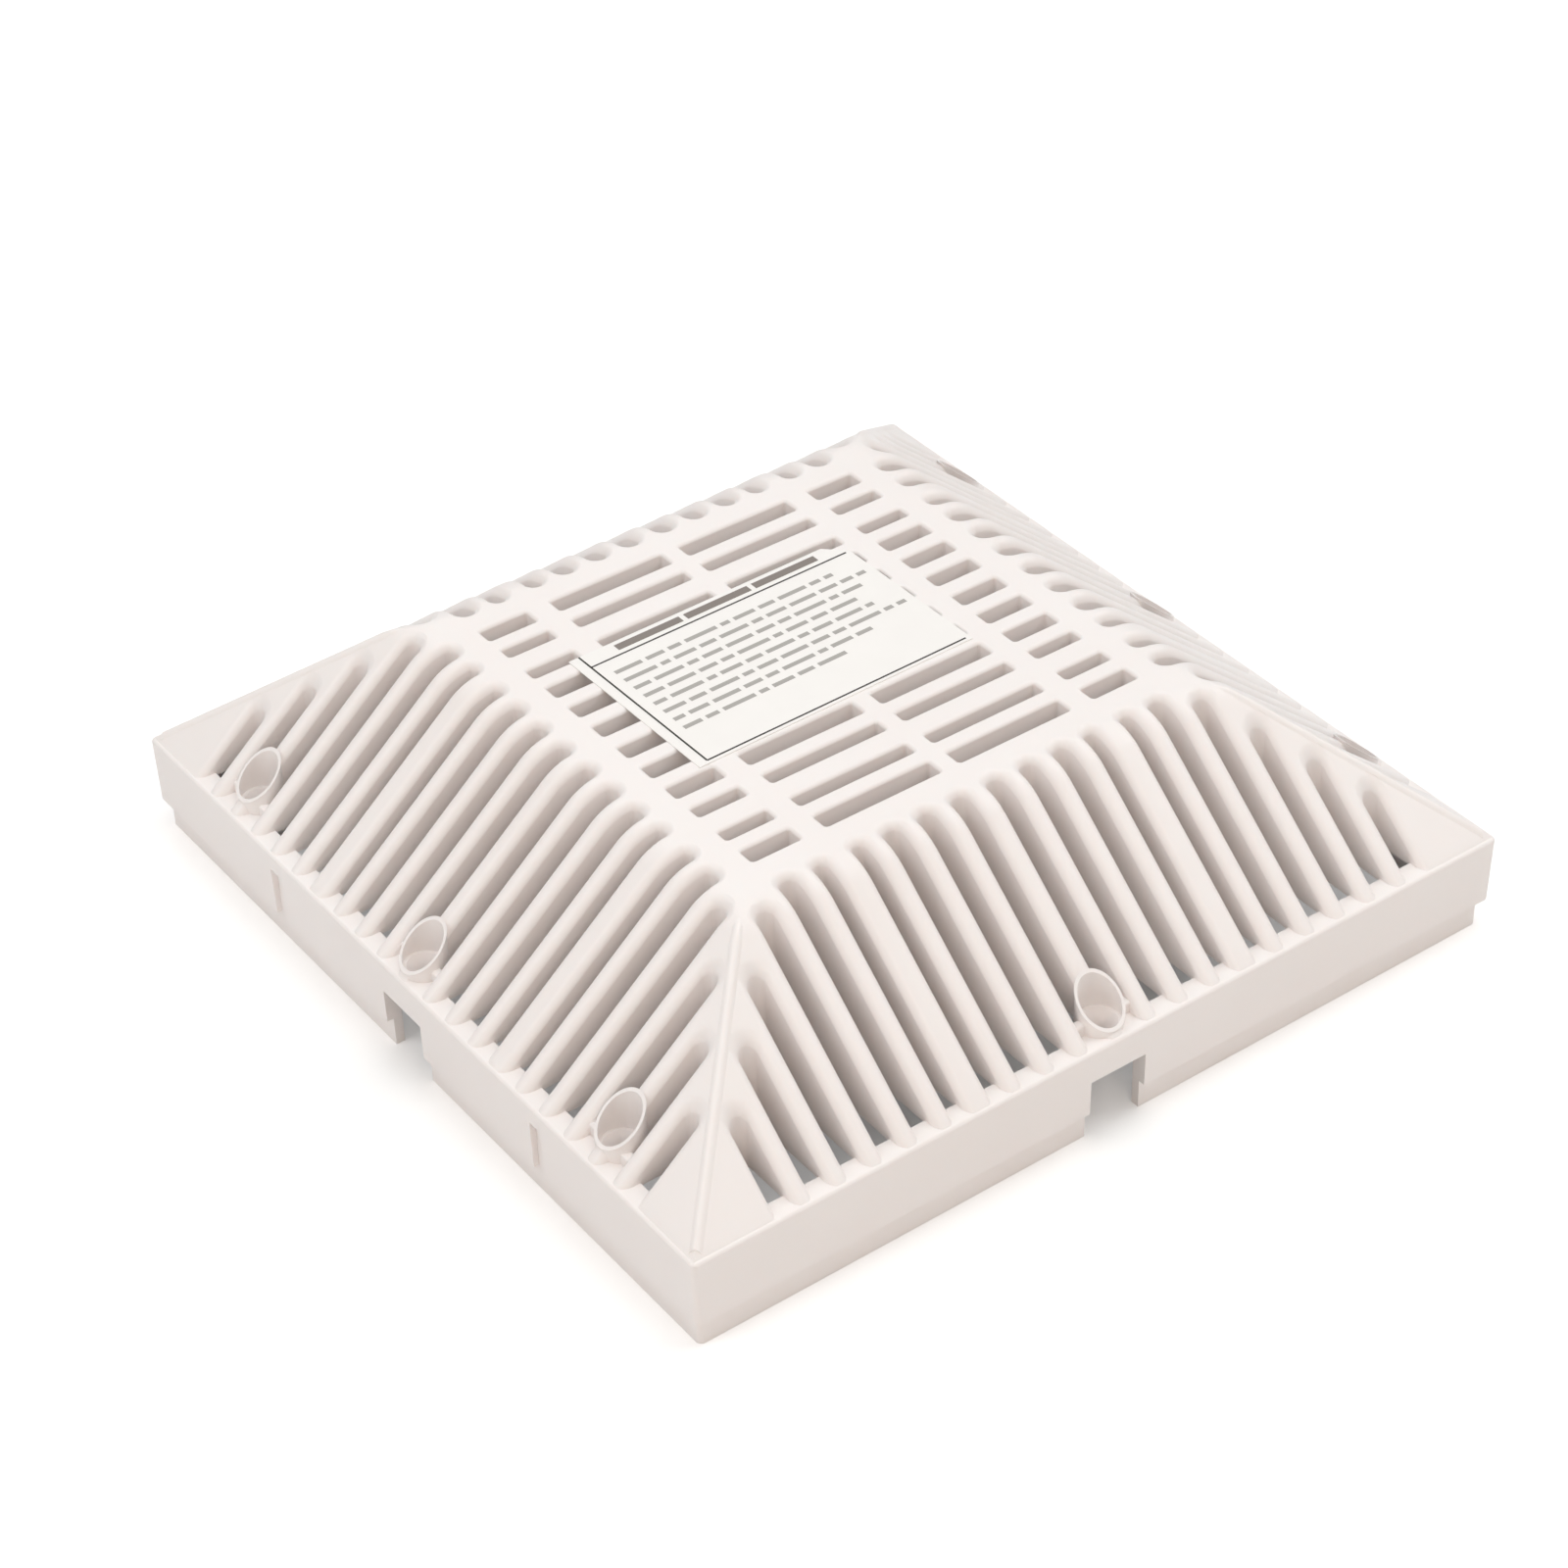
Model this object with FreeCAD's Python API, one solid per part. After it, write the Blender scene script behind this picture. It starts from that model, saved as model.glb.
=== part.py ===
import FreeCAD, Part
import math
import os

# A domed grate for a drain in the floor of a pool, moulded in one piece of
# white plastic, with a paper label stuck on its top.
#
# The origin is at the centre of the grate, on the plane its skirt stands on.
# Millimetres, +Z up. The four sides are alike, apart from the bosses and
# grooves that only the two sides across X have.

# Outline
side = 228.6
rim_z = 25.8
top_z = 64.7
flat_side = 135.0
foot_inset = 0.7
bend_radius = 14.0
flats_per_bend = 1
hip_top = 2.0
hip_base = 2.8
hip_raise = 0.5

# Slots and webs, counted from the middle of a side to its corner
gap = 4.65
narrow_gap = 3.6
web = 4.75
middle_web = 5.35
thick_web = 6.85
slots_per_half = 10
inner_slots_per_half = 4
flat_slots_per_half = 6
web_bottom_z = 25.0
crest_radius = 2.3
crest_depth = 2.8
flats_per_crest = 2

# Where slots end
slot_tip = 62.3
tip_to_hip = 5.5
flats_per_tip = 3
strip_width = 5.7
flat_bar = 8.0
flat_rim = 1.2

# Skirt
band_bottom_z = 7.75
band_draft = 0.3
lip_inset = 2.0
skirt_inner = 4.3
shelf = 3.0
rim_edge = 0.9
rib_end_inset = 1.3
corner_radius = 1.5

# Screw bosses
boss_radius = 5.8
bore_radius = 5.0
boss_proud = 0.8
boss_bottom_z = 18.0
seat_z = 26.5
seat_radius = 4.2
cone_bottom_z = 23.2
hole_radius = 2.3
middle_boss_inset = 7.2
corner_boss_inset = 9.0
slots_per_half_before_boss = 8
stop_height = 3.0
stop_width = 2.6
stop_edge = 0.8

# Openings in the skirt
notch_width = 15.6
notch_top_z = 17.1
groove_width = 4.4
groove_depth = 1.6
groove_top_z = 21.1
groove_offset = 55.0

# Hollow under each solid corner
shell = 3.2

# Label
label_length = 78.4
label_width = 51.4
label_thickness = 0.2
label_corner = 5.0
label_x = -5.4
label_y = 5.6
label_turn = 0.8

half = side / 2
foot = half - foot_inset
flat_half = flat_side / 2
rise = (top_z - rim_z) / (foot - flat_half)
slope_angle = math.atan(rise)
reach = 2 * side


def vector(x, y, z):
    return FreeCAD.Vector(x, y, z)


def turned(shape, angle):
    copy = shape.copy()
    copy.rotate(vector(0, 0, 0), vector(0, 0, 1), angle)
    return copy


def box(x0, x1, y0, y1, z0, z1):
    return Part.makeBox(x1 - x0, y1 - y0, z1 - z0, vector(x0, y0, z0))


def prism(points, direction):
    outline = [vector(*p) for p in points]
    return Part.Face(Part.makePolygon(outline + outline[:1])).extrude(direction)


def square(half_width, z0, z1, radius):
    """An upright square block with rounded corners."""
    block = box(-half_width, half_width, -half_width, half_width, z0, z1)
    uprights = [e for e in block.Edges if abs(e.tangentAt(e.FirstParameter).z) > 0.9]
    return block.makeFillet(radius, uprights)


def round_corner(centre, radius, start, sweep, flats):
    """The points of an outline round a corner, on flats that touch its arc. Angles are in degrees."""
    step = sweep / (flats + 1)
    spoke = radius / math.cos(math.radians(step / 2))
    angles = [math.radians(start + step * (k + 0.5)) for k in range(flats + 1)]
    return [(centre[0] + spoke * math.cos(a), centre[1] + spoke * math.sin(a)) for a in angles]


def bend():
    """The corners of the dome's outline as (distance from the middle, height), from flat to slope."""
    centre = (flat_half - bend_radius * math.tan(slope_angle / 2), top_z - bend_radius)
    return round_corner(centre, bend_radius, 90, -math.degrees(slope_angle), flats_per_bend)


def dome_profile(drop, base_z):
    """Half of the dome's outline, lowered by drop, down to its base."""
    base = foot + (rim_z - drop - base_z) / rise
    return [(x, z - drop) for x, z in bend()] + [(base, base_z)]


def four_sided(profile):
    """A solid with the same profile on all four sides."""
    right = [(x, -reach, z) for x, z in profile]
    left = [(-x, y, z) for x, y, z in reversed(right)]
    both = prism(right + left, vector(0, 2 * reach, 0))
    return both.common(turned(both, 90))


def hip_ribs():
    """Low ribs along the four hips, level with the flat where they start."""
    fall = vector(math.sqrt(2) * (foot - flat_half), 0, rim_z - top_z)
    start = vector(math.sqrt(2) * flat_half, 0, top_z) - fall
    drop = hip_base / 2 * rise / math.sqrt(2)
    right = [(hip_top / 2, hip_raise), (hip_base / 2, -drop)]
    left = [(-y, z) for y, z in reversed(right)]
    rib = prism([(start.x, y, start.z + z) for y, z in left + right], fall * 3)
    rib = rib.common(box(-reach, reach, -reach, reach, web_bottom_z, top_z))
    return [turned(rib, 45 + 90 * k) for k in range(4)]


def slot_spans():
    """Both edges of each slot, from the middle of a side outward."""
    spans = []
    edge = middle_web / 2
    for k in range(slots_per_half):
        beside_thick = k in (inner_slots_per_half - 1, inner_slots_per_half)
        width = narrow_gap if beside_thick else gap
        spans.append((edge, edge + width))
        edge += width + (thick_web if k == inner_slots_per_half - 1 else web)
    return spans


def dome_point(x, y, depth):
    """The point that lies this far below the dome's surface, on the side toward +X."""
    corners = [(0, top_z)] + bend() + [(foot, rim_z)]
    k = sum(1 for corner_x, corner_z in corners[1:-1] if x > corner_x)
    (x0, z0), (x1, z1) = corners[k:k + 2]
    return vector(x, y, z0 + (z1 - z0) * (x - x0) / (x1 - x0) - depth)


def between(a, b, x):
    """The point at x on the straight line from a to b."""
    share = (x - a[0]) / (b[0] - a[0])
    return tuple(p + share * (q - p) for p, q in zip(a, b))


def beyond(outline, x, side):
    """The part of an outline past a line across X: toward +X if side is 1, toward -X if it is -1."""
    kept = []
    for a, b in zip(outline, outline[1:] + outline[:1]):
        if side * (a[0] - x) >= 0:
            kept.append(a)
        if (a[0] - x) * (b[0] - x) < 0:
            kept.append(between(a, b, x))
    return kept


def over_bends(outline):
    """The outline's parts on each flat of the dome, as faces."""
    lines = [-reach] + [x for x, z in bend()] + [reach]
    parts = [beyond(beyond(outline, low, 1), high, -1) for low, high in zip(lines, lines[1:])]
    return [[dome_point(*p) for p in part] for part in parts if len(part) > 2]


def upright(a, b, z):
    """The face between height z and a line from a to b that follows the dome."""
    crossed = sorted((x for x, corner_z in bend() if (x - a[0]) * (x - b[0]) < 0), reverse=a[0] > b[0])
    line = [a] + [between(a, b, x) for x in crossed] + [b]
    return [dome_point(*p) for p in line] + [vector(b[0], b[1], z), vector(a[0], a[1], z)]


def cutter(rings):
    """An upright cutter through the dome, whose rings of (x, y, depth) follow the dome's surface."""
    faces = []
    for upper, lower in zip(rings, rings[1:]):
        for k in range(len(upper)):
            faces += over_bends([upper[k - 1], upper[k], lower[k], lower[k - 1]])
    for ring, z in ((rings[0], reach), (rings[-1], 0)):
        faces += [upright(ring[k - 1], ring[k], z) for k in range(len(ring))]
        faces.append([vector(x, y, z) for x, y, depth in ring])
    shell = Part.Shell([Part.Face(Part.makePolygon(face + face[:1])) for face in faces])
    shell.sewShape()
    solid = Part.Solid(shell)
    if solid.Volume < 0:
        solid.reverse()
    return solid


def rounding(radius, depth):
    """The rings of a rounded edge as (distance from the wall, depth below the dome), from the top down."""
    arc = round_corner((0, 0), 1, 90, -90, flats_per_crest)
    return [(radius * (1 - across), depth * (1 - up)) for across, up in arc]


def side_slot(low, high):
    """One slot in the slope toward +X, open outward, with a round tip and rounded edges."""
    radius = (high - low) / 2
    middle = (low + high) / 2
    centre = (max(slot_tip, middle + tip_to_hip) + radius, middle)
    end = dome_profile(0, web_bottom_z)[-1][0] + crest_radius
    rings = []
    for wider, depth in rounding(crest_radius, crest_depth):
        tip = round_corner(centre, radius + wider, 90, 180, flats_per_tip)
        ring = [(end, low - wider), (end, high + wider)] + tip
        rings.append([(x, y, depth) for x, y in ring])
    return cutter(rings)


def side_slots():
    slots = []
    for low, high in slot_spans():
        slot = side_slot(low, high)
        mirrored = slot.mirror(vector(0, 0, 0), vector(0, 1, 0))
        for quarter in range(4):
            slots.append(turned(slot, 90 * quarter))
            slots.append(turned(mirrored, 90 * quarter))
    return slots


def flat_slot(x0, x1, y0, y1):
    """One slot in the flat, with bevelled edges."""
    rings = []
    for wider, depth in ((flat_rim, 0), (0, flat_rim)):
        xs = (x0 - wider, x1 + wider)
        ys = (y0 - wider, y1 + wider)
        rings.append([(xs[i], ys[j], depth) for i, j in ((0, 0), (1, 0), (1, 1), (0, 1))])
    return cutter(rings)


def flat_slots():
    """Rows of slots across the flat, between crossing bars."""
    spans = slot_spans()
    inner_column = (spans[0][0], spans[inner_slots_per_half - 1][1])
    outer_column = (spans[inner_slots_per_half][0], slot_tip - flat_bar)
    slots = []
    for low, high in spans[:flat_slots_per_half]:
        for start, end in (inner_column, outer_column):
            slot = flat_slot(start, end, low, high)
            across = slot.mirror(vector(0, 0, 0), vector(1, 0, 0))
            for piece in (slot, across):
                slots.append(piece)
                slots.append(piece.mirror(vector(0, 0, 0), vector(0, 1, 0)))
    return slots


def crown():
    """The slotted dome: rounded ribs down the slopes and bars across the flat."""
    dome = four_sided(dome_profile(0, web_bottom_z)).fuse(hip_ribs())
    end = half - rib_end_inset
    return dome.cut(side_slots() + flat_slots()).common(box(-end, end, -end, end, 0, reach))


def band():
    """The upright wall round the grate, a little narrower at its foot, with a bevelled top edge."""
    wall = four_sided([(half, rim_z), (half - band_draft, band_bottom_z)])
    corners = [e for e in wall.Edges if e.BoundBox.ZLength > 1]
    wall = wall.makeFillet(corner_radius, corners)
    top_edges = [e for e in wall.Edges if e.BoundBox.ZMin > rim_z - 0.01]
    return wall.makeChamfer(rim_edge, top_edges)


def skirt():
    """The band with the lip under it and the strip inside its top, which the ribs end on."""
    lip = square(half - lip_inset, 0, band_bottom_z, corner_radius)
    hollow = square(half - skirt_inner, 0, rim_z - shelf, corner_radius)
    opening = half - strip_width
    return band().fuse(lip).cut([hollow, box(-opening, opening, -opening, opening, 0, reach)])


def boss_places():
    """Where the screws go: the middle of each side, and near the corners of the sides across X."""
    spans = slot_spans()
    middle = half - middle_boss_inset
    corner_x = half - corner_boss_inset
    corner_y = (spans[slots_per_half_before_boss - 1][1] + spans[slots_per_half_before_boss][0]) / 2
    places = [(middle, 0), (0, middle), (-middle, 0), (0, -middle)]
    places += [(sx * corner_x, sy * corner_y) for sx in (1, -1) for sy in (1, -1)]
    return places


def boss(x, y, cover):
    """An upright tube whose top follows the slope and stands a little proud of it."""
    tube = Part.makeCylinder(boss_radius, reach, vector(x, y, boss_bottom_z))
    return tube.common(cover)


def bore(x, y):
    """The room above the screw's head, the ledge and cone under it and the hole for its shank."""
    room = Part.makeCylinder(bore_radius, reach, vector(x, y, seat_z))
    cone_height = seat_z - cone_bottom_z
    cone = Part.makeCone(hole_radius, seat_radius, cone_height, vector(x, y, cone_bottom_z))
    hole = Part.makeCylinder(hole_radius, cone_bottom_z, vector(x, y, 0))
    return room.fuse([cone, hole])


def stops():
    """Low bars with bevelled tops beside each boss, across the slots and into the ribs past them."""
    outer = half - strip_width
    spans = slot_spans()
    middle_end = spans[0][1] + web / 2
    corner_start = (spans[slots_per_half_before_boss - 2][1] + spans[slots_per_half_before_boss - 1][0]) / 2
    corner_end = (spans[slots_per_half_before_boss][1] + spans[slots_per_half_before_boss + 1][0]) / 2
    reaches = [(-middle_end, middle_end, range(4))]
    reaches += [(corner_start, corner_end, (0, 2)), (-corner_end, -corner_start, (0, 2))]
    bars = []
    for start, end, sides in reaches:
        bar = box(outer - stop_width, outer, start, end, rim_z - shelf, rim_z + stop_height)
        top = [e for e in bar.Edges if min(v.Z for v in e.Vertexes) > rim_z and e.Length > stop_width + 1]
        bar = bar.makeChamfer(stop_edge, top)
        bars += [turned(bar, 90 * k) for k in sides]
    return bars


def skirt_cuts():
    """A notch in the middle of each side, and shallow grooves on the two sides across X."""
    inside = half - skirt_inner - shelf
    notch = box(inside, side, -notch_width / 2, notch_width / 2, 0, notch_top_z)
    cuts = [turned(notch, 90 * k) for k in range(4)]
    for y in (-groove_offset, groove_offset):
        low = y - groove_width / 2
        groove = box(half - groove_depth, side, low, low + groove_width, band_bottom_z, groove_top_z)
        cuts += [groove, turned(groove, 180)]
    return cuts


def corner_hollows():
    """Hollows under the solid corners, so that the slope there is a shell of even thickness."""
    inner = slot_spans()[-1][1] + web
    outer = half - strip_width
    under = four_sided(dome_profile(shell / math.cos(slope_angle), 0))
    hollow = box(inner, outer, inner, outer, 0, reach).common(under)
    return [turned(hollow, 90 * k) for k in range(4)]


def grate():
    cover = four_sided(dome_profile(-boss_proud, boss_bottom_z))
    places = boss_places()
    body = crown().fuse([skirt()] + stops() + [boss(x, y, cover) for x, y in places])
    return body.cut([bore(x, y) for x, y in places] + skirt_cuts() + corner_hollows())


def label():
    """A paper label lying on the flat, with one corner clipped."""
    x = label_length / 2
    y = label_width / 2
    outline = [(-x, -y, 0), (x, -y, 0), (x, y - label_corner, 0), (x - label_corner, y, 0), (-x, y, 0)]
    sheet = turned(prism(outline, vector(0, 0, label_thickness)), label_turn)
    sheet.translate(vector(label_x, label_y, top_z))
    return sheet


os.makedirs("parts", exist_ok=True)
for name, shape in (("grate", grate()), ("label", label())):
    print(name, "valid:", shape.isValid(), "faces:", len(shape.Faces))
    shape.exportStep("parts/" + name + ".step")
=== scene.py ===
import bpy
import math
from mathutils import Matrix, Vector

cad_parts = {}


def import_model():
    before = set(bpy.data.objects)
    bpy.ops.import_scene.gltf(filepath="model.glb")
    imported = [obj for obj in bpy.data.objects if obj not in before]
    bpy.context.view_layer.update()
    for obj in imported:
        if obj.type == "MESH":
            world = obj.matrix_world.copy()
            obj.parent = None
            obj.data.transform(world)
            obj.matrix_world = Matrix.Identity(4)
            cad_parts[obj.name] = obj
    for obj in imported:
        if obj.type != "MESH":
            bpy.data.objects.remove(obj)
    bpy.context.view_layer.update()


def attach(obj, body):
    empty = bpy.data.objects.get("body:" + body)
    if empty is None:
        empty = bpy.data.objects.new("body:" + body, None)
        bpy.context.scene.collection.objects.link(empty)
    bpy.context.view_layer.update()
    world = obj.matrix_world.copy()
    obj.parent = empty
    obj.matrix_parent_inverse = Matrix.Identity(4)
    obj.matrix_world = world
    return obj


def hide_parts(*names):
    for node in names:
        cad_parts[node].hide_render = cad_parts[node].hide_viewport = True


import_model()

# Camera, in the grate's own frame, in metres
CAMERA_AT = Vector((-0.4204, -0.5833, 0.5829))
CAMERA_AIM = Vector((-0.004, 0.004, 0.026))
CAMERA_ROLL = math.radians(-1.7)
CAMERA_LENS = 88.0
CAMERA_REACH = (0.05, 20)

# Lamps as (name, place, power in watts, colour), each a square that faces the grate
LAMP_SIZE = 0.9
LAMP_AIM = Vector((0, 0, 0.03))
LAMPS = (
    ("right", Vector((1.2, -0.4, 1.2)), 6.8, (1, 1, 1)),
    ("left", Vector((-1.2, 0.3, 1.2)), 6.4, (1, 1, 1)),
    ("front", Vector((-0.6, -1.2, 1.0)), 4.6, (1, 0.8, 0.64)),
    ("top", Vector((0.1, -0.1, 1.7)), 6.2, (0.9, 0.98, 1)),
    ("back", Vector((0.4, 1.2, 1.2)), 2.4, (1, 1, 1)),
)

# World light as (height of the direction, colour), near the horizon and overhead
HORIZON = (0.15, (0.24, 0.215, 0.198))
OVERHEAD = (0.6, (0.48, 0.478, 0.474))

# Floor, in metres, with its glow to the camera as (from, to, glow at the first, glow at the second). The glow
# is painted shade: it stays low under and beside the grate and rises farther out, where it whitens the floor
FLOOR_HALF = 6.0
FLOOR_GLOW_AND_PAINTED_SHADE = ((0.088, 0.118, 0.03, 0.2), (0.118, 0.4, 0.0, 0.25))

# Colours as (first, second) of a slow blend, and of the inks for rules, heading and text
PLASTIC = ((0.895, 0.845, 0.825), (0.915, 0.872, 0.856))
PAPER = ((0.9, 0.875, 0.85), (0.92, 0.895, 0.87))
INKS = (
    ("rule ink", (0.03, 0.026, 0.022)),
    ("heading ink", (0.24, 0.21, 0.19)),
    ("text ink", (0.42, 0.4, 0.38)),
)

# Label, in metres, with its print in millimetres from its centre
LABEL_SIZE = (0.0784, 0.0514)
LABEL_CORNER = 0.005
LABEL_AT = (-0.0054, 0.0056, 0.0647)
LABEL_TURN = math.radians(0.8)
LABEL_THICK = 0.0002
PRINT_LIFT = 0.00002
PRINT_LEFT = -36.4
PRINT_RIGHT = 38.0
PRINT_TOP = 20.6
PRINT_FOOT = -24.6
PRINT_RULE = 0.5
HEADING = (-27.4, 30.9, 23.3, 2.3)
TEXT_LEFT = -33.3
TEXT_TOP = 15.4
TEXT_PITCH = 3.85
TEXT_HEIGHT = 1.35
TEXT_ENDS = (29.8, 36.7, 32.6, 28.1, 30.1, 36.7, 25.6, 13.1)
TEXT_WORDS = (7.5, 5.0, 3.5, 9.0, 2.5, 6.0, 4.5, 8.0, 3.0, 5.5)
WORD_GAP = 1.3
WORD_SHIFT = 3

# Grate, in millimetres: the solid's sizes, with more flats in the bends, rounded edges, lower hip ribs
# and sloped rib ends that reach a little farther out
SIDE = 228.6
RIM_Z = 25.8
TOP_Z = 64.7
FLAT_SIDE = 135.0
FOOT_INSET = 0.7
BEND_RADIUS = 14.0
BEND_FLATS = 6
HIP_BASE = 2.8
HIP_RAISE = 0.3
HIP_FLATS = 10
HIP_SUNK = 0.2
SLOT = 4.65
NARROW_SLOT = 3.6
WEB = 4.75
MIDDLE_WEB = 5.35
THICK_WEB = 6.85
SLOTS_PER_HALF = 10
INNER_SLOTS = 4
FLAT_SLOTS = 6
WEB_BOTTOM_Z = 25.0
CREST_RADIUS = 2.3
CREST_DEPTH = 2.8
CREST_FLATS = 5
SLOT_TIP = 62.3
TIP_TO_HIP = 5.5
TIP_FLATS = 9
STRIP_WIDTH = 5.7
FLAT_BAR = 8.0
FLAT_RIM = 1.2
FLAT_CORNER = 0.7
FLAT_RIM_FLATS = 3
FLAT_CORNER_FLATS = 4
BAND_BOTTOM_Z = 7.75
BAND_DRAFT = 0.3
LIP_INSET = 2.0
SKIRT_INNER = 4.3
SHELF = 3.0
RIM_EDGE = 0.9
RIM_FLATS = 4
RIB_END_INSET = 1.0
RIB_END = 1.2
RIB_END_STEP = 0.05
CORNER_RADIUS = 1.5
CORNER_FLATS = 6
BOSS_RADIUS = 5.8
BORE_RADIUS = 5.0
BOSS_PROUD = 0.8
BOSS_BOTTOM_Z = 18.0
BOSS_EDGE = 0.3
BOSS_EDGE_FLATS = 2
ROUND_SIDES = 64
SEAT_Z = 26.5
SEAT_RADIUS = 4.2
CONE_BOTTOM_Z = 23.2
HOLE_RADIUS = 2.3
MIDDLE_BOSS_INSET = 7.2
CORNER_BOSS_INSET = 9.0
SLOTS_BEFORE_BOSS = 8
STOP_HEIGHT = 3.0
STOP_WIDTH = 2.6
STOP_EDGE = 0.8
STOP_FLATS = 3
NOTCH_WIDTH = 15.6
NOTCH_TOP_Z = 17.1
GROOVE_WIDTH = 4.4
GROOVE_DEPTH = 1.6
GROOVE_TOP_Z = 21.1
GROOVE_OFFSET = 55.0
SHELL = 3.2

HALF = SIDE / 2
FOOT = HALF - FOOT_INSET
FLAT_HALF = FLAT_SIDE / 2
RISE = (TOP_Z - RIM_Z) / (FOOT - FLAT_HALF)
SLOPE = math.atan(RISE)
HIGH = 2 * SIDE
LOW = -1.0
QUARTERS = ((1, 1), (-1, 1), (-1, -1), (1, -1))

# Largest angle between facets that are shaded as one surface
SMOOTH_ANGLE = math.radians(38)


class Shader:
    """A node material, with short calls for its nodes."""

    def __init__(self, name):
        self.material = bpy.data.materials.new(name)
        self.material.use_nodes = True
        self.tree = self.material.node_tree
        self.bsdf = self.tree.nodes["Principled BSDF"]
        self.place = self.add("ShaderNodeTexCoord").outputs["Object"]

    def add(self, kind, **settings):
        node = self.tree.nodes.new(kind)
        for name, value in settings.items():
            setattr(node, name, value)
        return node

    def link(self, source, target):
        self.tree.links.new(source, target)

    def noise(self, scale, detail=3.0):
        node = self.add("ShaderNodeTexNoise")
        node.inputs["Scale"].default_value = scale
        node.inputs["Detail"].default_value = detail
        self.link(self.place, node.inputs["Vector"])
        return node.outputs["Fac"]

    def spread(self, source, low, high):
        node = self.add("ShaderNodeMapRange", clamp=False)
        node.inputs["From Min"].default_value = 0.3
        node.inputs["From Max"].default_value = 0.7
        node.inputs["To Min"].default_value = low
        node.inputs["To Max"].default_value = high
        self.link(source, node.inputs["Value"])
        return node.outputs["Result"]

    def blend(self, amount, first, second):
        node = self.add("ShaderNodeMix", data_type="RGBA")
        self.link(amount, node.inputs["Factor"])
        colours = [socket for socket in node.inputs if socket.type == "RGBA"]
        colours[0].default_value = (*first, 1)
        colours[1].default_value = (*second, 1)
        return [socket for socket in node.outputs if socket.type == "RGBA"][0]

    def bump(self, heights, strength, distance):
        node = self.add("ShaderNodeBump")
        node.inputs["Strength"].default_value = strength
        node.inputs["Distance"].default_value = distance
        self.link(heights, node.inputs["Height"])
        return node.outputs["Normal"]


def plastic():
    """Satin white moulded plastic, a little warm, with slow flow marks and a fine grain."""
    shader = Shader("plastic")
    tint = shader.blend(shader.spread(shader.noise(14.0), 0.0, 1.0), *PLASTIC)
    shader.link(tint, shader.bsdf.inputs["Base Color"])
    shader.link(shader.spread(shader.noise(35.0, 4.0), 0.36, 0.42), shader.bsdf.inputs["Roughness"])
    shader.link(shader.bump(shader.noise(900.0, 2.0), 0.05, 0.0002), shader.bsdf.inputs["Normal"])
    shader.bsdf.inputs["IOR"].default_value = 1.46
    shader.bsdf.inputs["Subsurface Weight"].default_value = 0.1
    shader.bsdf.inputs["Subsurface Radius"].default_value = (1.0, 0.7, 0.6)
    shader.bsdf.inputs["Subsurface Scale"].default_value = 0.002
    return shader.material


def paper():
    """Satin white paper."""
    shader = Shader("paper")
    tint = shader.blend(shader.spread(shader.noise(90.0), 0.0, 1.0), *PAPER)
    shader.link(tint, shader.bsdf.inputs["Base Color"])
    shader.bsdf.inputs["Roughness"].default_value = 0.5
    return shader.material


def ink(name, colour):
    """A plain dry ink."""
    shader = Shader(name)
    shader.bsdf.inputs["Base Color"].default_value = (*colour, 1)
    shader.bsdf.inputs["Roughness"].default_value = 0.5
    return shader.material


def mesh_object(name, points, faces, materials, marks=None):
    """A mesh in the scene. Marks give each face's material."""
    mesh = bpy.data.meshes.new(name)
    mesh.from_pydata(points, [], faces)
    for material in materials:
        mesh.materials.append(material)
    if marks:
        mesh.polygons.foreach_set("material_index", marks)
    mesh.update()
    item = bpy.data.objects.new(name, mesh)
    bpy.context.scene.collection.objects.link(item)
    return item


def on_label(x, y, z):
    """A point of the label's own plane, in the row frame."""
    turn = Matrix.Rotation(LABEL_TURN, 4, "Z")
    return Matrix.Translation(LABEL_AT) @ turn @ Vector((x, y, z))


def text_bars():
    """The print as plain bars: a heading, rules and eight lines of words, as (x0, x1, y0, y1, ink)."""
    rule = PRINT_RULE / 2
    bars = [
        (PRINT_LEFT - rule, PRINT_LEFT + rule, PRINT_FOOT, LABEL_SIZE[1] * 500, 1),
        (PRINT_LEFT, PRINT_RIGHT, PRINT_TOP - rule, PRINT_TOP + rule, 1),
        (PRINT_LEFT, PRINT_RIGHT, PRINT_FOOT - rule, PRINT_FOOT + rule, 1),
    ]
    left, right, middle, height = HEADING
    third = (right - left + WORD_GAP) / 3
    for k in range(3):
        start = left + k * third
        bars.append((start, start + third - WORD_GAP, middle - height / 2, middle + height / 2, 2))
    for line, end in enumerate(TEXT_ENDS):
        x = TEXT_LEFT
        middle = TEXT_TOP - line * TEXT_PITCH
        word = WORD_SHIFT * line
        while x < end - WORD_GAP:
            stop = min(x + TEXT_WORDS[word % len(TEXT_WORDS)], end)
            bars.append((x, stop, middle - TEXT_HEIGHT / 2, middle + TEXT_HEIGHT / 2, 3))
            x = stop + WORD_GAP
            word += 1
    return bars


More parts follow.
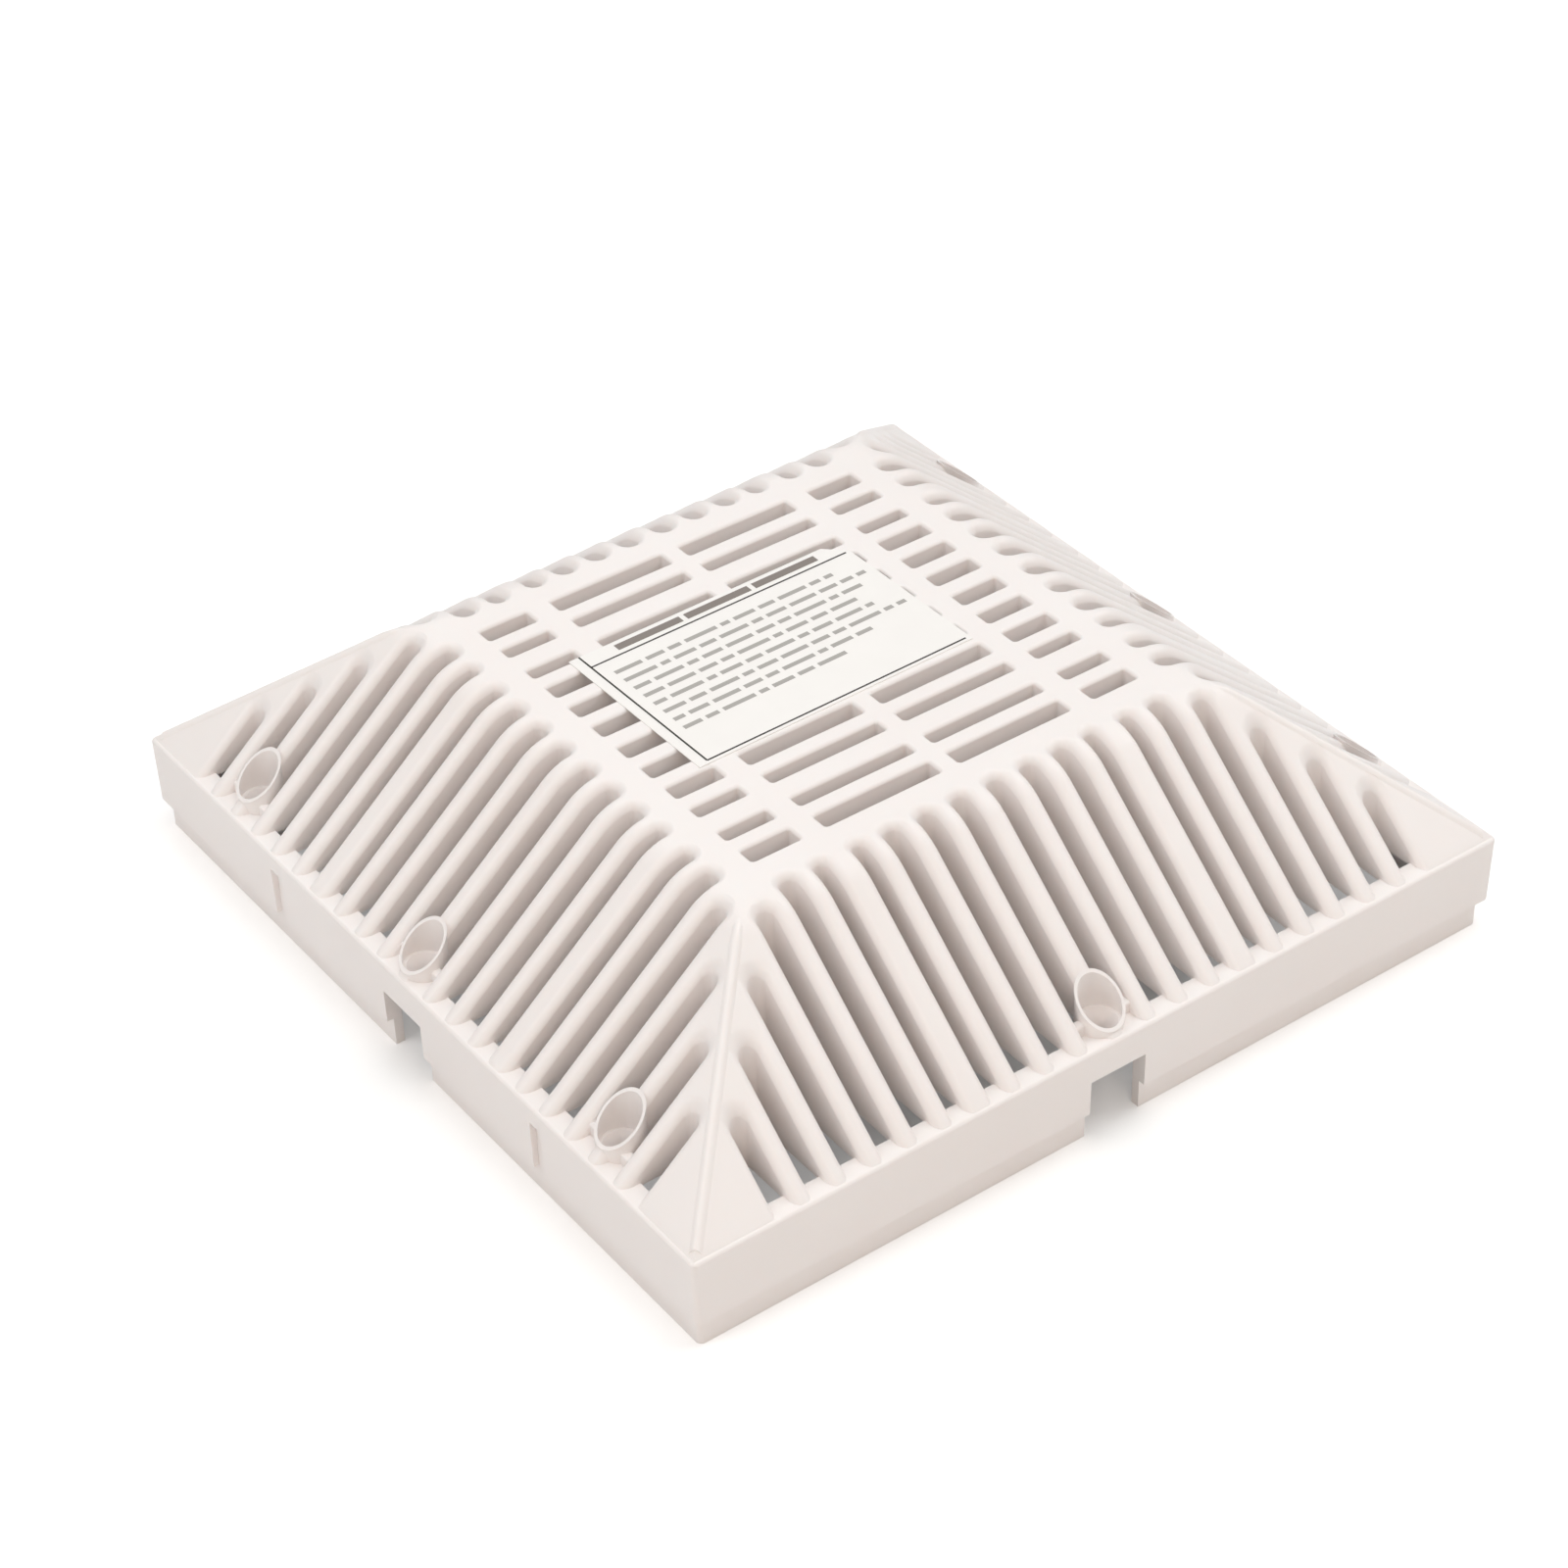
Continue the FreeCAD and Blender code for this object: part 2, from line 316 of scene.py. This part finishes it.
def label():
    """The paper label with its print as thin bars of ink on it."""
    x, y = LABEL_SIZE[0] / 2, LABEL_SIZE[1] / 2
    outline = [(-x, -y), (x, -y), (x, y - LABEL_CORNER), (x - LABEL_CORNER, y), (-x, y)]
    points = [on_label(px, py, z) for z in (0, LABEL_THICK) for px, py in outline]
    count = len(outline)
    faces = [list(range(count))[::-1], list(range(count, 2 * count))]
    faces += [[k, (k + 1) % count, (k + 1) % count + count, k + count] for k in range(count)]
    marks = [0] * len(faces)
    lift = LABEL_THICK + PRINT_LIFT
    for x0, x1, y0, y1, mark in text_bars():
        start = len(points)
        corners = ((x0, y0), (x1, y0), (x1, y1), (x0, y1))
        points += [on_label(px / 1000, py / 1000, lift) for px, py in corners]
        faces.append(list(range(start, start + 4)))
        marks.append(mark)
    inks = [ink(name, colour) for name, colour in INKS]
    item = mesh_object("label_print", points, faces, [paper()] + inks, marks)
    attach(item, "root")
    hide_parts("label")


def smooth(item):
    """Shade the facets of bends and rounded edges as one surface."""
    for polygon in item.data.polygons:
        polygon.use_smooth = True
    split = item.modifiers.new("split", "EDGE_SPLIT")
    split.split_angle = SMOOTH_ANGLE
    split.use_edge_sharp = False
    even = item.modifiers.new("even", "WEIGHTED_NORMAL")
    even.mode = "FACE_AREA"
    even.weight = 60


def round_corner(centre, radius, start, sweep, flats):
    """The points of an outline round a corner, on flats that touch its arc. Angles are in degrees."""
    step = sweep / (flats + 1)
    spoke = radius / math.cos(math.radians(step / 2))
    angles = [math.radians(start + step * (k + 0.5)) for k in range(flats + 1)]
    return [(centre[0] + spoke * math.cos(a), centre[1] + spoke * math.sin(a)) for a in angles]


def bend():
    """The corners of the dome's outline as (distance from the middle, height), from flat to slope."""
    centre = (FLAT_HALF - BEND_RADIUS * math.tan(SLOPE / 2), TOP_Z - BEND_RADIUS)
    return round_corner(centre, BEND_RADIUS, 90, -math.degrees(SLOPE), BEND_FLATS)


def dome_z(x):
    """The dome's height at a distance from the middle."""
    corners = [(0, TOP_Z)] + bend() + [(FOOT, RIM_Z)]
    k = sum(1 for corner_x, corner_z in corners[1:-1] if x > corner_x)
    (x0, z0), (x1, z1) = corners[k:k + 2]
    return z0 + (z1 - z0) * (x - x0) / (x1 - x0)


def on_dome(x, y, depth):
    """The point at a depth under the dome, where the dome slopes across X."""
    return (x, y, dome_z(x) - depth)


class Solid:
    """A closed shell, made face by face with shared corners. Faces go counterclockwise, seen from outside."""

    def __init__(self):
        self.points = []
        self.faces = []
        self.known = {}

    def corner(self, point):
        key = tuple(round(c, 4) for c in point)
        if key not in self.known:
            self.known[key] = len(self.points)
            self.points.append(key)
        return self.known[key]

    def face(self, points):
        corners = [self.corner(p) for p in points]
        corners = [c for k, c in enumerate(corners) if c != corners[k - 1]]
        if len(corners) > 2:
            self.faces.append(corners)

    def loft(self, rings):
        """Walls from ring to ring, with a cap at each end. Rings go counterclockwise, seen from above."""
        for lower, upper in zip(rings, rings[1:]):
            for k in range(len(lower)):
                self.face([lower[k - 1], lower[k], upper[k], upper[k - 1]])
        self.face(rings[0][::-1])
        self.face(rings[-1])

    def placed(self, turn, flip=False):
        """A copy turned about Z in degrees, after a mirroring across Y if flip is set."""
        copy = Solid()
        c, s = math.cos(math.radians(turn)), math.sin(math.radians(turn))
        for corners in self.faces:
            ring = [self.points[k] for k in corners]
            ring = [(x, -y if flip else y, z) for x, y, z in ring]
            ring = [(c * x - s * y, s * x + c * y, z) for x, y, z in ring]
            copy.face(ring[::-1] if flip else ring)
        return copy


def together(solids):
    """Solids that don't touch, as one."""
    whole = Solid()
    for solid in solids:
        start = len(whole.points)
        whole.points += solid.points
        whole.faces += [[start + k for k in face] for face in solid.faces]
    return whole


def block(x0, x1, y0, y1, z0, z1):
    """A box between two values on each axis."""
    solid = Solid()
    outline = [(x0, y0), (x1, y0), (x1, y1), (x0, y1)]
    solid.loft([[(x, y, z) for x, y in outline] for z in (z0, z1)])
    return solid


def rounded_square(half_width, z):
    """A square with the skirt's corner radius, about the middle."""
    outline = []
    for quarter, (sx, sy) in enumerate(QUARTERS):
        centre = (sx * (half_width - CORNER_RADIUS), sy * (half_width - CORNER_RADIUS))
        outline += round_corner(centre, CORNER_RADIUS, 90 * quarter, 90, CORNER_FLATS)
    return [(x, y, z) for x, y in outline]


def circle(x, y, radius):
    """The points of a full circle."""
    angles = [2 * math.pi * k / ROUND_SIDES for k in range(ROUND_SIDES)]
    return [(x + radius * math.cos(a), y + radius * math.sin(a)) for a in angles]


def slot_spans():
    """Both edges of each slot, from the middle of a side outward."""
    spans = []
    edge = MIDDLE_WEB / 2
    for k in range(SLOTS_PER_HALF):
        width = NARROW_SLOT if k in (INNER_SLOTS - 1, INNER_SLOTS) else SLOT
        spans.append((edge, edge + width))
        edge += width + (THICK_WEB if k == INNER_SLOTS - 1 else WEB)
    return spans


def between(a, b, x):
    """The point at x on the line from a to b."""
    share = (x - a[0]) / (b[0] - a[0])
    return tuple(p + share * (q - p) for p, q in zip(a, b))


def beyond(outline, x, side):
    """The part of an outline past a line across X: toward +X if side is 1, toward -X if it is -1."""
    kept = []
    for a, b in zip(outline, outline[1:] + outline[:1]):
        if side * (a[0] - x) >= 0:
            kept.append(a)
        if (a[0] - x) * (b[0] - x) < 0:
            kept.append(between(a, b, x))
    return kept


def cutter(rings):
    """An upright cutter through the dome, whose rings of (x, y, depth) follow the dome's surface."""
    solid = Solid()
    bends = [x for x, z in bend()]
    lines = [-HIGH] + bends + [HIGH]
    for upper, lower in zip(rings, rings[1:]):
        for k in range(len(upper)):
            outline = [upper[k - 1], lower[k - 1], lower[k], upper[k]]
            for low, high in zip(lines, lines[1:]):
                part = beyond(beyond(outline, low, 1), high, -1)
                if len(part) > 2:
                    solid.face([on_dome(*p) for p in part])
    for ring, z, way in ((rings[0], HIGH, 1), (rings[-1], LOW, -1)):
        for k in range(len(ring)):
            a, b = ring[k - 1], ring[k]
            crossed = sorted((x for x in bends if (x - a[0]) * (x - b[0]) < 0), reverse=a[0] > b[0])
            line = [a] + [between(a, b, x) for x in crossed] + [b]
            upright = [on_dome(*p) for p in line] + [(b[0], b[1], z), (a[0], a[1], z)]
            solid.face(upright[::way])
        solid.face([(x, y, z) for x, y, depth in ring][::way])
    return solid


def rounding(radius, depth, flats):
    """The rings of a rounded edge as (distance from the wall, depth below the dome), from the top down."""
    arc = round_corner((0, 0), 1, 90, -90, flats)
    return [(radius * (1 - across), depth * (1 - up)) for across, up in arc]


def side_slot(low, high):
    """One slot in the slope toward +X, open outward, with a round tip and rounded edges."""
    radius = (high - low) / 2
    middle = (low + high) / 2
    tip = max(SLOT_TIP, middle + TIP_TO_HIP) + radius
    rings = []
    for wider, depth in rounding(CREST_RADIUS, CREST_DEPTH, CREST_FLATS):
        ring = [(HALF + RIM_EDGE, low - wider), (HALF + RIM_EDGE, high + wider)]
        ring += round_corner((tip, middle), radius + wider, 90, 180, TIP_FLATS)
        rings.append([(x, y, depth) for x, y in ring])
    return cutter(rings)


def flat_slot(x0, x1, y0, y1):
    """One slot in the flat, with rounded corners and edges."""
    rings = []
    for wider, depth in rounding(FLAT_RIM, FLAT_RIM, FLAT_RIM_FLATS):
        ring = []
        for quarter, (sx, sy) in enumerate(QUARTERS):
            x = x1 if sx > 0 else x0
            y = y1 if sy > 0 else y0
            centre = (x - sx * FLAT_CORNER, y - sy * FLAT_CORNER)
            ring += round_corner(centre, FLAT_CORNER + wider, 90 * quarter, 90, FLAT_CORNER_FLATS)
        rings.append([(x, y, depth) for x, y in ring])
    return cutter(rings)


def slots():
    """All slots: eight of each in the slopes, and rows across the flat, between crossing bars."""
    spans = slot_spans()
    cutters = []
    for low, high in spans:
        slot = side_slot(low, high)
        cutters += [slot.placed(90 * k, flip) for k in range(4) for flip in (False, True)]
    columns = [(spans[0][0], spans[INNER_SLOTS - 1][1]), (spans[INNER_SLOTS][0], SLOT_TIP - FLAT_BAR)]
    for low, high in spans[:FLAT_SLOTS]:
        for start, end in columns:
            slot = flat_slot(start, end, low, high)
            cutters += [slot.placed(turn, flip) for turn in (0, 180) for flip in (False, True)]
    return cutters


def crown():
    """The dome before its slots are cut."""
    end = HALF - RIB_END_INSET
    levels = [(end, WEB_BOTTOM_Z), (end, RIM_Z + RIB_END_STEP), (end - RIB_END, dome_z(end - RIB_END))]
    levels += bend()[::-1]
    solid = Solid()
    solid.loft([[(x, -x, z), (x, x, z), (-x, x, z), (-x, -x, z)] for x, z in levels])
    return solid


def hip_rib():
    """A low soft ridge along the hip toward +X and +Y, made along X and then turned."""
    drop = HIP_BASE / 2 * RISE / math.sqrt(2)
    end = HALF - RIB_END_INSET - HIP_BASE / 2
    stations = bend() + [(end, dome_z(end))]
    rings = []
    for k, (x, z) in enumerate(stations):
        grown = min(1, k / (BEND_FLATS / 2 + 1))
        section = []
        for j in range(HIP_FLATS + 1):
            across = 1 - 2 * j / HIP_FLATS
            above = (drop + HIP_RAISE) * (1 - across * across) * grown - drop - HIP_SUNK * (1 - grown)
            section.append((across * HIP_BASE / 2, above))
        section = [(HIP_BASE / 2, WEB_BOTTOM_Z - z)] + section + [(-HIP_BASE / 2, WEB_BOTTOM_Z - z)]
        rings.append([(math.sqrt(2) * x, y, z + above) for y, above in section])
    solid = Solid()
    solid.loft(rings)
    return solid


def skirt():
    """The band with its rounded top edge and the lip under it, filled."""
    levels = [(HALF - LIP_INSET, 0), (HALF - LIP_INSET, BAND_BOTTOM_Z), (HALF - BAND_DRAFT, BAND_BOTTOM_Z)]
    levels += round_corner((HALF - RIM_EDGE, RIM_Z - RIM_EDGE), RIM_EDGE, 0, 90, RIM_FLATS)
    solid = Solid()
    solid.loft([rounded_square(half, z) for half, z in levels])
    return solid


def boss_places():
    """Where the screws go, as (x, y) on the slope toward +X and the turn that brings them there."""
    spans = slot_spans()
    middle = HALF - MIDDLE_BOSS_INSET
    corner_x = HALF - CORNER_BOSS_INSET
    corner_y = (spans[SLOTS_BEFORE_BOSS - 1][1] + spans[SLOTS_BEFORE_BOSS][0]) / 2
    places = [(middle, 0, 90 * k) for k in range(4)]
    return places + [(corner_x, sy * corner_y, turn) for turn in (0, 180) for sy in (1, -1)]


def boss(x, y):
    """An upright tube whose top follows the slope toward +X, a little proud of it, and flares at its edge."""
    rings = [[(px, py, BOSS_BOTTOM_Z) for px, py in circle(x, y, BOSS_RADIUS)]]
    for wider, down in rounding(BOSS_EDGE, BOSS_EDGE, BOSS_EDGE_FLATS)[::-1]:
        spots = circle(x, y, BOSS_RADIUS - BOSS_EDGE + wider)
        rings.append([(px, py, dome_z(px) + BOSS_PROUD - down) for px, py in spots])
    solid = Solid()
    solid.loft(rings)
    return solid


def bore(x, y):
    """The room over the screw's head, the ledge and cone under it and the hole for its shank."""
    levels = [(HOLE_RADIUS, LOW), (HOLE_RADIUS, CONE_BOTTOM_Z), (SEAT_RADIUS, SEAT_Z)]
    levels += [(BORE_RADIUS, SEAT_Z), (BORE_RADIUS, HIGH)]
    solid = Solid()
    solid.loft([[(px, py, z) for px, py in circle(x, y, radius)] for radius, z in levels])
    return solid


def at_bosses(body):
    """A body at each of the bosses, made for the slope toward +X and then turned."""
    return [body(x, y).placed(turn) for x, y, turn in boss_places()]


def stop(start, end):
    """A low bar across the slots beside a boss, with a rounded top."""
    outer = HALF - STRIP_WIDTH
    top = RIM_Z + STOP_HEIGHT
    section = [(outer - STOP_WIDTH, RIM_Z - SHELF), (outer, RIM_Z - SHELF)]
    section += round_corner((outer - STOP_EDGE, top - STOP_EDGE), STOP_EDGE, 0, 90, STOP_FLATS)
    section += round_corner((outer - STOP_WIDTH + STOP_EDGE, top - STOP_EDGE), STOP_EDGE, 90, 90, STOP_FLATS)
    solid = Solid()
    solid.loft([[(x, y, z) for x, z in section] for y in (end, start)])
    return solid


def stops():
    """The low bars beside each boss."""
    spans = slot_spans()
    middle = spans[0][1] + WEB / 2
    near = (spans[SLOTS_BEFORE_BOSS - 2][1] + spans[SLOTS_BEFORE_BOSS - 1][0]) / 2
    far = (spans[SLOTS_BEFORE_BOSS][1] + spans[SLOTS_BEFORE_BOSS + 1][0]) / 2
    bars = [stop(-middle, middle).placed(90 * k) for k in range(4)]
    return bars + [bar.placed(turn) for turn in (0, 180) for bar in (stop(near, far), stop(-far, -near))]


def skirt_cuts():
    """A notch in the middle of each side, and shallow grooves on the two sides across X."""
    inside = HALF - SKIRT_INNER - SHELF
    notch = block(inside, SIDE, -NOTCH_WIDTH / 2, NOTCH_WIDTH / 2, LOW, NOTCH_TOP_Z)
    cuts = [notch.placed(90 * k) for k in range(4)]
    for y in (-GROOVE_OFFSET, GROOVE_OFFSET):
        start = y - GROOVE_WIDTH / 2
        groove = block(HALF - GROOVE_DEPTH, SIDE, start, start + GROOVE_WIDTH, BAND_BOTTOM_Z, GROOVE_TOP_Z)
        cuts += [groove, groove.placed(180)]
    return cuts


def corner_hollow():
    """The hollow under the solid corner toward +X and +Y."""
    inner = slot_spans()[-1][1] + WEB
    outer = HALF - STRIP_WIDTH
    down = SHELL / math.cos(SLOPE)
    spots = [(inner, inner), (outer, inner), (outer, outer), (inner, outer)]
    low = [(x, y, BOSS_BOTTOM_Z) for x, y in spots]
    top = [(x, y, dome_z(max(x, y)) - down) for x, y in spots]
    solid = Solid()
    for k in range(4):
        solid.face([low[k - 1], low[k], top[k], top[k - 1]])
    solid.face(low[::-1])
    solid.face([top[0], top[1], top[2]])
    solid.face([top[0], top[2], top[3]])
    return solid


def made(name, solid):
    """A solid as an object in the scene."""
    points = [(x / 1000, y / 1000, z / 1000) for x, y, z in solid.points]
    return mesh_object(name, points, solid.faces, [])


def joined(item, operation, tool):
    """Add the tool to the item, or cut it away, and drop the tool."""
    modifier = item.modifiers.new("change", "BOOLEAN")
    modifier.solver = "MANIFOLD"
    modifier.operation = operation
    modifier.object = tool
    result = bpy.data.meshes.new_from_object(item.evaluated_get(bpy.context.evaluated_depsgraph_get()))
    item.modifiers.clear()
    item.data = result
    bpy.data.objects.remove(tool)


def changed(item, operation, solids):
    """Add solids that don't touch each other to the item, or cut them away."""
    joined(item, operation, made("tool", together(solids)))


def grate():
    """The moulded grate."""
    inside = HALF - SKIRT_INNER
    opening = HALF - STRIP_WIDTH
    wall = made("wall", skirt())
    changed(wall, "DIFFERENCE", [block(-inside, inside, -inside, inside, LOW, RIM_Z - SHELF)])
    changed(wall, "DIFFERENCE", [block(-opening, opening, -opening, opening, 2 * LOW, HIGH)])
    item = made("grate_round", crown())
    changed(item, "UNION", [hip_rib().placed(45 + 90 * k) for k in range(4)])
    changed(item, "DIFFERENCE", slots())
    joined(item, "UNION", wall)
    changed(item, "UNION", stops())
    changed(item, "UNION", at_bosses(boss))
    changed(item, "DIFFERENCE", at_bosses(bore) + [corner_hollow().placed(90 * k) for k in range(4)])
    changed(item, "DIFFERENCE", skirt_cuts())
    item.data.materials.clear()
    item.data.materials.append(plastic())
    smooth(item)
    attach(item, "root")
    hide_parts("grate")


def lamp(name, place, power, colour):
    """A square lamp that faces the grate."""
    light = bpy.data.lights.new(name, "AREA")
    light.shape = "RECTANGLE"
    light.size = light.size_y = LAMP_SIZE
    light.energy = power
    light.color = colour
    item = bpy.data.objects.new(name, light)
    item.location = place
    item.rotation_euler = (LAMP_AIM - place).to_track_quat("-Z", "Y").to_euler()
    bpy.context.scene.collection.objects.link(item)


def camera():
    """The photograph's viewing angle."""
    data = bpy.data.cameras.new("camera")
    data.lens = CAMERA_LENS
    data.clip_start, data.clip_end = CAMERA_REACH
    item = bpy.data.objects.new("camera", data)
    turn = (CAMERA_AIM - CAMERA_AT).to_track_quat("-Z", "Y").to_matrix().to_4x4()
    item.matrix_world = Matrix.Translation(CAMERA_AT) @ turn @ Matrix.Rotation(CAMERA_ROLL, 4, "Z")
    bpy.context.scene.collection.objects.link(item)
    bpy.context.scene.camera = item


def floor():
    """A white floor that keeps the grate's soft shadow and grows brighter to the camera farther out. Its glow
    is painted shade, kept low under and beside the grate.
    """
    spots = [(x * FLOOR_HALF, y * FLOOR_HALF, 0) for x, y in ((-1, -1), (1, -1), (1, 1), (-1, 1))]
    item = mesh_object("floor", spots, [(0, 1, 2, 3)], [])
    shader = Shader("floor")
    shader.bsdf.inputs["Base Color"].default_value = (0.9, 0.9, 0.9, 1)
    shader.bsdf.inputs["Roughness"].default_value = 0.8
    shader.bsdf.inputs["Specular IOR Level"].default_value = 0.0
    away = shader.add("ShaderNodeVectorMath", operation="LENGTH")
    shader.link(shader.place, away.inputs[0])
    glows = []
    # Painted shade: the glow to the camera stays low under and beside the grate and rises farther out
    for start, end, low, high in FLOOR_GLOW_AND_PAINTED_SHADE:
        glow = shader.add("ShaderNodeMapRange")
        glow.inputs["From Min"].default_value = start
        glow.inputs["From Max"].default_value = end
        glow.inputs["To Min"].default_value = low
        glow.inputs["To Max"].default_value = high
        shader.link(away.outputs["Value"], glow.inputs["Value"])
        glows.append(glow.outputs["Result"])
    both = shader.add("ShaderNodeMath", operation="ADD")
    shader.link(glows[0], both.inputs[0])
    shader.link(glows[1], both.inputs[1])
    seen = shader.add("ShaderNodeMath", operation="MULTIPLY")
    shader.link(both.outputs[0], seen.inputs[0])
    shader.link(shader.add("ShaderNodeLightPath").outputs["Is Camera Ray"], seen.inputs[1])
    shader.bsdf.inputs["Emission Color"].default_value = (1, 1, 1, 1)
    shader.link(seen.outputs[0], shader.bsdf.inputs["Emission Strength"])
    item.data.materials.append(shader.material)


def world():
    """Even light, brighter overhead and warmer toward the horizon, and plain white to the camera."""
    scene = bpy.context.scene
    scene.world = bpy.data.worlds.new("world")
    scene.world.use_nodes = True
    tree = scene.world.node_tree
    back = tree.nodes["Background"]
    place = tree.nodes.new("ShaderNodeTexCoord")
    split = tree.nodes.new("ShaderNodeSeparateXYZ")
    tree.links.new(place.outputs["Generated"], split.inputs["Vector"])
    ramp = tree.nodes.new("ShaderNodeValToRGB")
    ramp.color_ramp.interpolation = "EASE"
    for element, (height, colour) in zip(ramp.color_ramp.elements, (HORIZON, OVERHEAD)):
        element.position = height
        element.color = (*colour, 1)
    tree.links.new(split.outputs["Z"], ramp.inputs["Fac"])
    tree.links.new(ramp.outputs["Color"], back.inputs["Color"])
    white = tree.nodes.new("ShaderNodeBackground")
    white.inputs["Color"].default_value = (1, 1, 1, 1)
    white.inputs["Strength"].default_value = 1.0
    path = tree.nodes.new("ShaderNodeLightPath")
    mix = tree.nodes.new("ShaderNodeMixShader")
    tree.links.new(path.outputs["Is Camera Ray"], mix.inputs["Fac"])
    tree.links.new(back.outputs["Background"], mix.inputs[1])
    tree.links.new(white.outputs["Background"], mix.inputs[2])
    tree.links.new(mix.outputs["Shader"], tree.nodes["World Output"].inputs["Surface"])


scene = bpy.context.scene
scene.view_settings.view_transform = "Standard"

grate()
label()

camera()
floor()
world()
for settings in LAMPS:
    lamp(*settings)
